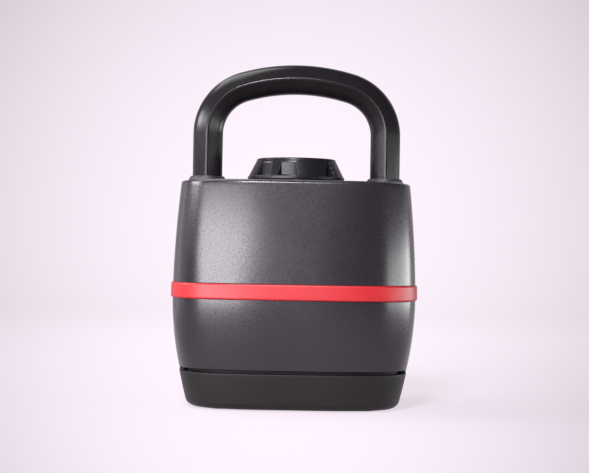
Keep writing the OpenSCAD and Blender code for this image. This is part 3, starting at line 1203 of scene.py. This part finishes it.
@dataclass
class Handle:
    """Bridge handle and the collars at its foot.

    The crease is the soft ridge that runs along the front and the back of the bar.
    """

    thick: float = 27.6 * MM
    crown_radius: float = 187.2 * MM
    shoulder_radius: float = 60 * MM
    crease: float = 3.4 * MM
    crease_width: float = 4.2 * MM
    crease_round: float = 1.5 * MM
    bunching: float = 0.36
    collar_gap: float = 0.3 * MM
    collar_out: float = 3.2 * MM
    collar_bead: float = 2.9 * MM
    collar_neck: float = 1.9 * MM
    count: int = 128

    def __post_init__(self) -> None:
        """Reads the overall size from the frame."""
        low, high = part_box("handle_grip")
        self.half_width, self.half_depth = high.x, high.y
        self.top, self.foot = high.z, low.z
        self.collar_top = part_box("handle_collars")[1].z

    def section(self) -> np.ndarray:
        """The cross-section: across the bar, and front to back, with a crease at each end.

        Returns:
            The section's points, one row each.
        """
        turn = np.arange(self.count) * TURN / self.count
        t = turn + self.bunching * np.sin(2 * turn)
        across = self.thick / 2 * np.cos(t)
        from_crease = np.sqrt(across**2 + self.crease_round**2) - self.crease_round
        ridge = self.crease * np.exp(-from_crease / self.crease_width)
        deep = np.sin(t) * (self.half_depth - self.crease + ridge)
        return np.stack([across, deep], 1)

    def sweep(self) -> bpy.types.Object:
        """Builds the bar.

        Returns:
            The object.
        """
        crown_z = self.top - self.crown_radius
        x = self.half_width - self.shoulder_radius
        z = crown_z + math.sqrt((self.crown_radius - self.shoulder_radius) ** 2 - x * x)
        lean = math.atan2(z - crown_z, x)
        bend, crown = self.shoulder_radius - self.thick / 2, self.crown_radius - self.thick / 2
        stations = [(x, level, bend, 0.0) for level in steps(self.foot, z, 10)[:-1]]
        stations += [(x, z, bend, a) for a in steps(0, lean, 30)[:-1]]
        stations += [(0.0, crown_z, crown, a) for a in steps(lean, math.pi - lean, 28)[:-1]]
        stations += [(-x, z, bend, a) for a in steps(math.pi - lean, math.pi, 30)[:-1]]
        stations += [(-x, level, bend, math.pi) for level in steps(z, self.foot, 10)]
        shape = self.section()
        rows = [
            np.stack(
                [
                    cx + (r + shape[:, 0]) * math.cos(a),
                    shape[:, 1],
                    cz + (r + shape[:, 0]) * math.sin(a),
                ],
                1,
            )
            for cx, cz, r, a in stations
        ]
        return skin("handle", np.stack(rows), joined=False, sharp_angle=60)

    def collars(self) -> bpy.types.Object:
        """Builds the two collars.

        Returns:
            Both collars, as one object.
        """
        h, gap, out = self.collar_top - self.foot, self.collar_gap, self.collar_out
        bead, neck = self.collar_bead, self.collar_neck
        under, below = bead - 0.6 * MM, h - 0.4 * MM
        levels: List[Level] = [(gap, 0.0), (out - 0.2 * MM, 0.0), (out, 0.2 * MM), (out, under)]
        levels += quarter((out, under), (out - 0.4 * MM, bead), True, 3)
        levels += [(neck, below)] + quarter((neck, below), (neck - 0.5 * MM, h), True, 3)
        levels += [(2 * gap, h), (gap, h - 0.3 * MM)]
        t = np.arange(self.count) * TURN / self.count
        made = []
        for side in (-1, 1):
            rows = np.stack(
                [
                    np.stack(
                        [
                            side * (self.half_width - self.thick / 2)
                            + (self.thick / 2 + g) * np.cos(t),
                            (self.half_depth + g) * np.sin(t),
                            np.full(self.count, self.foot + z),
                        ],
                        1,
                    )
                    for g, z in levels
                ]
            )
            made.append(skin("collar", rows, joined=True, sharp_angle=35))
        first, second = made
        first.name = "collars"
        join(first, [second])
        smooth_mesh(first.data, 35)
        return first

    def build(self, finishes: Finishes) -> None:
        """Builds and dresses the handle."""
        settle(self.sweep(), "kettlebell", finishes.handle, "handle_black", "handle_grip")
        settle(self.collars(), "kettlebell", finishes.cover, "handle_black", "handle_collars")


@dataclass(frozen=True)
class Pocket:
    """A finger pocket in the side of the dial; angles are from the front, in degrees."""

    mouth: Tuple[float, float]
    bottom: Tuple[float, float]
    floor: float

    def limit(self, angle: float, radius: float) -> float:
        """The largest radius the pocket leaves at an angle.

        Args:
            angle: The angle from the front, in degrees.
            radius: The dial's radius, where the walls start.

        Returns:
            The radius; beyond the mouth it is larger than the dial.
        """
        middle = sum(self.mouth) / 2
        angle = middle + (angle - middle + 180) % 360 - 180
        first, second = self.mouth
        if not first < angle < second:
            return 2 * radius
        if angle < self.bottom[0]:
            share = (angle - first) / (self.bottom[0] - first)
        elif angle > self.bottom[1]:
            share = (second - angle) / (second - self.bottom[1])
        else:
            share = 1.0
        return radius + MM - share * (radius + MM - self.floor)


@dataclass
class Dial:
    """Selector dial with its cap; the angles are from the front, in degrees."""

    top_radius: float = 36.6 * MM
    skirt: float = 3.3 * MM
    skirt_round: float = 0.6 * MM
    foot_round: float = 0.5 * MM
    wall_step: float = 0.9 * MM
    wall_rise: float = 0.25 * MM
    edge: float = 1.6 * MM
    soft: float = 0.55 * MM
    fillet: float = 1.2 * MM
    finger_at: Tuple[float, float] = (-44.5, -10.5)
    finger_mouth: float = 13.25
    finger_bottom: float = 10.25
    finger_floor: float = 37.9 * MM
    slot_mouth: Tuple[float, float] = (31.5, 54.6)
    slot_bottom: Tuple[float, float] = (52.6, 53.0)
    slot_floor: float = 35 * MM
    hollow_radius: float = 31 * MM
    hollow_height: float = 12 * MM
    cap_gap: float = 0.2 * MM
    cap_recess: float = 1.4 * MM
    cap_edge: float = 0.3 * MM
    cap_rim: float = 2 * MM
    cap_dish: float = 0.5 * MM
    pointer_half: float = 1.3 * MM
    pointer_root: float = 9 * MM
    pointer_tip: float = 3.4 * MM
    pointer_rise: float = 0.12 * MM

    def __post_init__(self) -> None:
        """Reads the size from the frame, and sets the pockets out."""
        self.pockets = [pocket for turned in (0.0, 180.0) for pocket in self.half_turn(turned)]
        low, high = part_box("dial_knob")
        self.base, self.top = low.z, high.z
        self.radius = high.x
        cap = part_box("dial_cap")
        self.cap_radius, self.cap_low, self.cap_top = cap[1].x, cap[0].z, cap[1].z

    def half_turn(self, turned: float) -> List[Pocket]:
        """The pockets of one half: two for fingers, and a slot with one steep wall.

        Args:
            turned: The angle that the half is turned by, in degrees.

        Returns:
            The pockets.
        """
        spans = [
            (
                (middle - self.finger_mouth, middle + self.finger_mouth),
                (middle - self.finger_bottom, middle + self.finger_bottom),
                self.finger_floor,
            )
            for middle in self.finger_at
        ]
        spans.append((self.slot_mouth, self.slot_bottom, self.slot_floor))
        return [
            Pocket((mouth[0] + turned, mouth[1] + turned), (deep[0] + turned, deep[1] + turned), floor)
            for mouth, deep, floor in spans
        ]

    def outside(self) -> List[Level]:
        """The full side profile, as (radius, height), from the skirt's foot to the top face.

        Returns:
            The profile.
        """
        r, z, ledge = self.radius, self.base, self.base + self.skirt
        p, q = self.foot_round, self.skirt_round
        made: List[Level] = [(r - p, z)] + quarter((r - p, z), (r, z + p), False, 3)
        made += [(r, h) for h in steps(z + MM, ledge - q, 3)]
        made += quarter((r, ledge - q), (r - q, ledge), True, 4)
        start = (r - self.wall_step, ledge + self.wall_rise)
        end = (self.top_radius + 0.1 * MM, self.top - self.edge)
        made += [
            (start[0] + (end[0] - start[0]) * u, start[1] + (end[1] - start[1]) * u)
            for u in [0.0, 0.015, 0.03, 0.05, 0.075] + steps(0.1, 1, 40)
        ]
        made += quarter(end, (self.top_radius - self.edge, self.top), True, 7)
        return made

    def hollow(self, limit: float) -> List[Level]:
        """The side profile where a pocket cuts in, with the same number of points.

        Args:
            limit: The largest radius the pocket leaves.

        Returns:
            The profile.
        """
        ledge, bend = self.base + self.skirt, self.fillet
        made: List[Level] = []
        for r, z in self.outside():
            if z <= ledge + 0.1 * MM:
                made.append((r, z))
                continue
            rise = min(bend, z - ledge)
            inner = limit + bend - math.sqrt(max(0.0, bend**2 - (bend - rise) ** 2))
            close = max(0.0, 1 - abs(r - inner) / self.soft)
            made.append((min(r, inner) - close * close * self.soft / 4, z))
        return made

    def angles(self) -> List[float]:
        """The columns' angles from the front, close together at the pockets.

        Returns:
            The angles in degrees, in order.
        """
        made = set(round(a, 2) for a in steps(-180, 180, 180)[:-1])
        for p in self.pockets:
            first, second = p.mouth[0] - 0.6, p.mouth[1] + 0.6
            count = round((second - first) / 0.3)
            made.update(round((a + 180) % 360 - 180, 2) for a in steps(first, second, count))
            made.update(round((a + 180) % 360 - 180, 2) for a in p.mouth + p.bottom)
        return sorted(made)

    def knob(self) -> bpy.types.Object:
        """Builds the knob.

        Returns:
            The knob.
        """
        columns = []
        for angle in self.angles():
            limit = min(p.limit(angle, self.radius) for p in self.pockets)
            profile = np.array(self.hollow(limit))
            a = math.radians(angle - 90)
            columns.append(
                np.stack(
                    [profile[:, 0] * math.cos(a), profile[:, 0] * math.sin(a), profile[:, 1]], 1
                )
            )
        side = np.stack(columns, 1)
        turn = np.array([math.radians(a - 90) for a in self.angles()])

        def circle(radius: float, z: float) -> np.ndarray:
            """A plain ring."""
            return np.stack([radius * np.cos(turn), radius * np.sin(turn), np.full(len(turn), z)], 1)

        lip, e = self.cap_radius + self.cap_gap, self.cap_edge
        inner = [
            circle(lip + 0.8 * MM, self.top),
            circle(lip + e, self.top),
            circle(lip, self.top - e),
            circle(lip, self.top - self.cap_recess),
            circle(0.2 * lip, self.top - self.cap_recess),
        ]
        under = [
            circle(0.2 * self.radius, self.base + self.hollow_height),
            circle(self.hollow_radius, self.base + self.hollow_height),
            circle(self.hollow_radius, self.base + 0.4 * MM),
            circle(self.hollow_radius + 0.4 * MM, self.base),
        ]
        rows = np.concatenate([np.stack(under), side, np.stack(inner)])
        return skin("dial", rows, joined=False, sharp_angle=35)

    def cap(self) -> bpy.types.Object:
        """Builds the cap: a shallow dish with a raised rim.

        Returns:
            The cap.
        """
        r, z0, z1, e = self.cap_radius, self.cap_low, self.cap_top, self.cap_edge
        levels: List[Level] = [(r * k, z0) for k in (0.1, 0.5, 0.98)] + [(r, z0 + 0.2 * MM)]
        levels += [(r, z1 - e)] + quarter((r, z1 - e), (r - e, z1), True, 3)
        rim, dish = r - self.cap_rim, z1 - self.cap_dish
        levels += [(rim, z1)] + quarter((rim, z1), (rim - 0.6 * MM, dish), True, 3)
        levels += [(r * k, dish) for k in (0.8, 0.6, 0.4, 0.2, 0.05)]
        return skin("dial_cap_disc", turned_rows(levels, 144), joined=False, sharp_angle=35)

    def pointer(self) -> bpy.types.Object:
        """Builds the painted pointer on the cap, aimed at the first setting.

        Returns:
            The pointer.
        """
        z, r = self.cap_top - self.cap_dish, self.cap_radius
        half, root, tip = self.pointer_half, self.pointer_root - r, self.pointer_tip - r
        outline = [(-half, root), (0.0, tip), (half, root)]
        rows = np.array([[(x, y, h) for x, y in outline] for h in (z - PAINT_SUNK, z + self.pointer_rise)])
        return skin("dial_pointer", rows, joined=False)

    def build(self, finishes: Finishes) -> None:
        """Builds and dresses the dial.

        Args:
            finishes: The finishes.
        """
        settle(self.knob(), "selector", finishes.dial, "dial_black", "dial_knob")
        settle(self.cap(), "selector", finishes.dial, "dial_black", "dial_cap")
        settle(self.pointer(), "selector", finishes.paint, "dial_black")


@dataclass
class Scale:
    """Ring round the dial with a mark and a number for each setting."""

    inner: float = 46.5 * MM
    outer: float = 60 * MM
    thick: float = 0.8 * MM
    edge: float = 0.25 * MM
    step: float = 30.0
    weights: Tuple[int, ...] = (8, 12, 20, 25, 35, 40)
    mark_from: float = 0.8 * MM
    mark_to: float = 4 * MM
    mark_wide: float = 0.6 * MM
    mark_narrow: float = 0.45 * MM
    figure: float = 5.6 * MM
    figure_at: float = 55.2 * MM
    figure_rise: float = 0.05 * MM
    figure_thick: float = 0.12 * MM

    def __post_init__(self) -> None:
        """Reads the levels from the frame."""
        low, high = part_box("scale_ring")
        self.low, self.mark_top = low.z, high.z
        self.face = self.low + self.thick

    def ring(self) -> bpy.types.Object:
        """Builds the ring with softened edges.

        Returns:
            The ring.
        """
        e = self.edge
        levels = [(self.inner, self.low), (self.outer, self.low), (self.outer, self.face - e)]
        levels += quarter((self.outer, self.face - e), (self.outer - e, self.face), True, 3)
        levels += [(self.inner + e, self.face), (self.inner, self.face - e)]
        return skin("scale", turned_rows(levels, 192), joined=True, sharp_angle=35)

    def mark(self, angle: float) -> bpy.types.Object:
        """Builds one mark, a little narrower at its outer end.

        Args:
            angle: Its direction from the dial's axis, in radians.

        Returns:
            The mark.
        """
        out = Vector((math.cos(angle), math.sin(angle), 0))
        along = Vector((-math.sin(angle), math.cos(angle), 0))
        near, far, wide, narrow = self.mark_from, self.mark_to, self.mark_wide, self.mark_narrow
        corners = [(near, -wide), (far, -narrow), (far, narrow), (near, wide)]
        rows = np.array(
            [
                [tuple(out * (self.inner + r) + along * s + Vector((0, 0, z))) for r, s in corners]
                for z in (self.face - PAINT_SUNK, self.mark_top)
            ]
        )
        return skin("mark", rows, joined=False)

    def number(self, weight: int, angle: float) -> bpy.types.Object:
        """Builds one number, to be read from outside the ring.

        Args:
            weight: The number.
            angle: Its direction from the dial's axis, in radians.

        Returns:
            The number's solid.
        """
        text = bpy.data.curves.new("number", "FONT")
        text.body, text.size, text.extrude = str(weight), self.figure, self.figure_thick
        text.align_x, text.align_y = "CENTER", "CENTER"
        shown = bpy.data.objects.new("number", text)
        bpy.context.scene.collection.objects.link(shown)
        out = Vector((math.cos(angle), math.sin(angle), 0))
        shown.location = out * self.figure_at + Vector((0, 0, self.face + self.figure_rise))
        shown.rotation_euler = (0, 0, angle + math.pi / 2)
        bpy.context.view_layer.update()
        solid = bpy.data.meshes.new_from_object(shown)
        solid.transform(shown.matrix_world)
        bpy.data.objects.remove(shown)
        made = bpy.data.objects.new("number", solid)
        bpy.context.scene.collection.objects.link(made)
        return made

    def marks(self) -> bpy.types.Object:
        """Builds the painted marks and numbers as one piece.

        Returns:
            The marks and numbers, as one object.
        """
        parts: List[bpy.types.Object] = []
        for k, weight in enumerate(self.weights):
            angle = math.radians(-90 + k * self.step)
            parts += [self.mark(angle), self.number(weight, angle)]
        first = parts[0]
        first.name = "scale_marks"
        join(first, parts[1:])
        return first

    def build(self, finishes: Finishes) -> None:
        """Builds and dresses the scale."""
        settle(self.ring(), "kettlebell", finishes.cover, "cover_black", "scale_ring")
        settle(self.marks(), "kettlebell", finishes.paint, "cover_black")


@dataclass
class FramePieces:
    """Frame nodes that are shown as they are, with a better finish."""

    edge: float = 0.35 * MM
    weld: float = 0.001 * MM
    flat: float = 0.5
    bevel_over: float = 40.0
    split_over: float = 30.0

    def dress(self, node: str, material: bpy.types.Material, rounded: bool) -> None:
        """Cleans the shading of a node and gives it its finish.

        Args:
            node: The node.
            material: Its finish.
            rounded: True softens its edges.
        """
        shown = frame["nodes"][node]
        weld = shown.modifiers.new("weld", "WELD")
        weld.merge_threshold = self.weld
        flat = shown.modifiers.new("flat", "DECIMATE")
        flat.decimate_type, flat.angle_limit = "DISSOLVE", math.radians(self.flat)
        if rounded:
            bevel = shown.modifiers.new("bevel", "BEVEL")
            bevel.width, bevel.segments = self.edge, 2
            bevel.limit_method, bevel.angle_limit = "ANGLE", math.radians(self.bevel_over)
        split = shown.modifiers.new("split", "EDGE_SPLIT")
        split.split_angle = math.radians(self.split_over)
        shown.data.polygons.foreach_set("use_smooth", [True] * len(shown.data.polygons))
        shown.data.materials.clear()
        shown.data.materials.append(material)
        LOG.info("%s keeps its frame mesh", node)

    def build(self, finishes: Finishes) -> None:
        """Dresses every node that no new piece stands for.

        Args:
            finishes: The finishes.
        """
        by_slot = {
            "tray_black": finishes.tray,
            "rubber_black": finishes.rubber,
            "steel": finishes.steel,
            "shell_grey": finishes.shell,
            "band_red": finishes.band,
            "cover_black": finishes.cover,
            "handle_black": finishes.handle,
            "bushing_black": finishes.bushing,
            "iron": finishes.iron,
            "dial_black": finishes.dial,
        }
        for part in frame["record"]["subparts"]:
            node = part["node"]
            if frame["nodes"][node].hide_render:
                continue
            slot = part["material_slot"]
            self.dress(node, by_slot[slot], rounded=node.startswith("weight_plate"))


# ---------------------------------------------------------------- studio


@dataclass
class Lamp:
    """A soft rectangular light."""

    name: str
    place: Tuple[float, float, float]
    target: Tuple[float, float, float]
    width: float
    height: float
    power: float
    colour: Colour = (1.0, 1.0, 1.0)

    def build(self) -> None:
        """Hangs the light."""
        data = bpy.data.lights.new(self.name, "AREA")
        data.shape, data.size, data.size_y = "RECTANGLE", self.width, self.height
        data.energy, data.color = self.power, self.colour
        lamp = bpy.data.objects.new(self.name, data)
        bpy.context.scene.collection.objects.link(lamp)
        lamp.location = self.place
        aim = Vector(self.target) - Vector(self.place)
        lamp.rotation_euler = aim.to_track_quat("-Z", "Y").to_euler()


@dataclass
class Studio:
    """Pale sweep, soft lights and the camera."""

    focal: float = 98.35
    sensor: float = 36.0
    distance: float = 1.5
    eye: float = 0.15
    tilt: float = 0.24
    roll: float = 1.0
    side: float = -0.0005
    wall_bend: float = 1.2
    wall_foot: float = 2.2
    wall_top: float = 4.5
    floor_front: float = -3.2
    half_wide: float = 5.0
    aim: Tuple[float, float, float] = (0.0, 0.0, 0.14)
    cool: Colour = (0.98, 0.94, 1.0)
    sky: Colour = (0.93, 0.90, 0.96)
    sky_strength: float = 0.05

    def sweep(self) -> bpy.types.Object:
        """Builds the floor and wall in one curved sheet.

        Returns:
            The object.
        """
        bend, depth = self.wall_bend, self.wall_foot
        profile = [(y, 0.0) for y in steps(self.floor_front, depth, 12)]
        profile += [
            (depth + bend * math.sin(a), bend - bend * math.cos(a))
            for a in steps(0, math.pi / 2, 16)[1:]
        ]
        profile += [(depth + bend, z) for z in steps(bend, self.wall_top, 6)[1:]]
        columns = steps(-self.half_wide, self.half_wide, 10)
        points = np.array([(x, y, z) for y, z in profile for x in columns])
        across = len(columns)
        faces = [
            (k * across + i, k * across + i + 1, (k + 1) * across + i + 1, (k + 1) * across + i)
            for k in range(len(profile) - 1)
            for i in range(across - 1)
        ]
        made = mesh_piece("sweep", points, faces, 180)
        # The sweep's paper has a painted pool of light, spreading from the camera's place.
        paper = Backdrop("pale sweep", (1.0, 0.912, 1.0), lamp_y=-self.distance)
        made.data.materials.append(paper.material())
        return made

    def room(self) -> None:
        """Sets the faint light that comes from all round."""
        world = bpy.data.worlds.new("room")
        world.use_nodes = True
        sky = world.node_tree.nodes["Background"]
        sky.inputs["Color"].default_value = (*self.sky, 1.0)
        sky.inputs["Strength"].default_value = self.sky_strength
        bpy.context.scene.world = world

    def lamps(self) -> None:
        """Hangs the lamps: each has its place, width, height, power and colour."""
        aim, cool = self.aim, self.cool
        Lamp("strip", (-1.13, -1.59, 0.42), aim, 2.15, 0.31, 51.0, cool).build()
        Lamp("low", (-1.05, -1.55, 0.10), aim, 1.6, 0.16, 26.0, cool).build()
        Lamp("side", (-1.13, -0.06, 0.575), aim, 0.5, 0.2, 12.0, cool).build()
        Lamp("edge", (-0.95, 0.40, 0.20), aim, 0.8, 0.40, 0.8, cool).build()
        Lamp("key", (-0.25, -1.45, 1.35), aim, 0.35, 0.35, 62.0, cool).build()
        Lamp("top", (-0.42, 0.22, 1.10), aim, 0.6, 0.6, 7.0).build()
        Lamp("rim", (1.0, -0.02, 0.125), aim, 1.4, 0.2, 9.5).build()

    def camera(self) -> None:
        """Sets the camera up."""
        data = bpy.data.cameras.new("camera")
        data.lens, data.sensor_width = self.focal, self.sensor
        data.clip_end = 50.0
        camera = bpy.data.objects.new("camera", data)
        bpy.context.scene.collection.objects.link(camera)
        camera.location = (self.side, -self.distance, self.eye)
        camera.rotation_mode = "XYZ"
        look = Vector((0, 1, math.tan(math.radians(self.tilt)))).to_track_quat("-Z", "Y")
        roll = Matrix.Rotation(math.radians(self.roll), 4, "Z")
        camera.rotation_euler = (look.to_matrix().to_4x4() @ roll).to_euler()
        bpy.context.scene.camera = camera

    def build(self) -> None:
        """Builds the studio."""
        self.sweep()
        self.room()
        self.lamps()
        self.camera()
        view = bpy.context.scene.view_settings
        view.view_transform, view.look = "Standard", "None"


# ---------------------------------------------------------------- assembly


def main() -> None:
    """Builds the kettlebell and the studio."""
    logging.basicConfig(level=logging.INFO, format="%(name)s: %(message)s")
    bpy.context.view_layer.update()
    finishes = Finishes.make()
    barrel = Barrel(half_width=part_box("lower_shell")[1].x)
    tray = Tray(barrel)
    shell = Shell(barrel)
    shell.build(finishes, tray.ear_outline(shell.window_gap))
    tray.build(finishes)
    Handle().build(finishes)
    Dial().build(finishes)
    Scale().build(finishes)
    FramePieces().build(finishes)
    Studio().build()


if __name__ == "__main__":
    main()
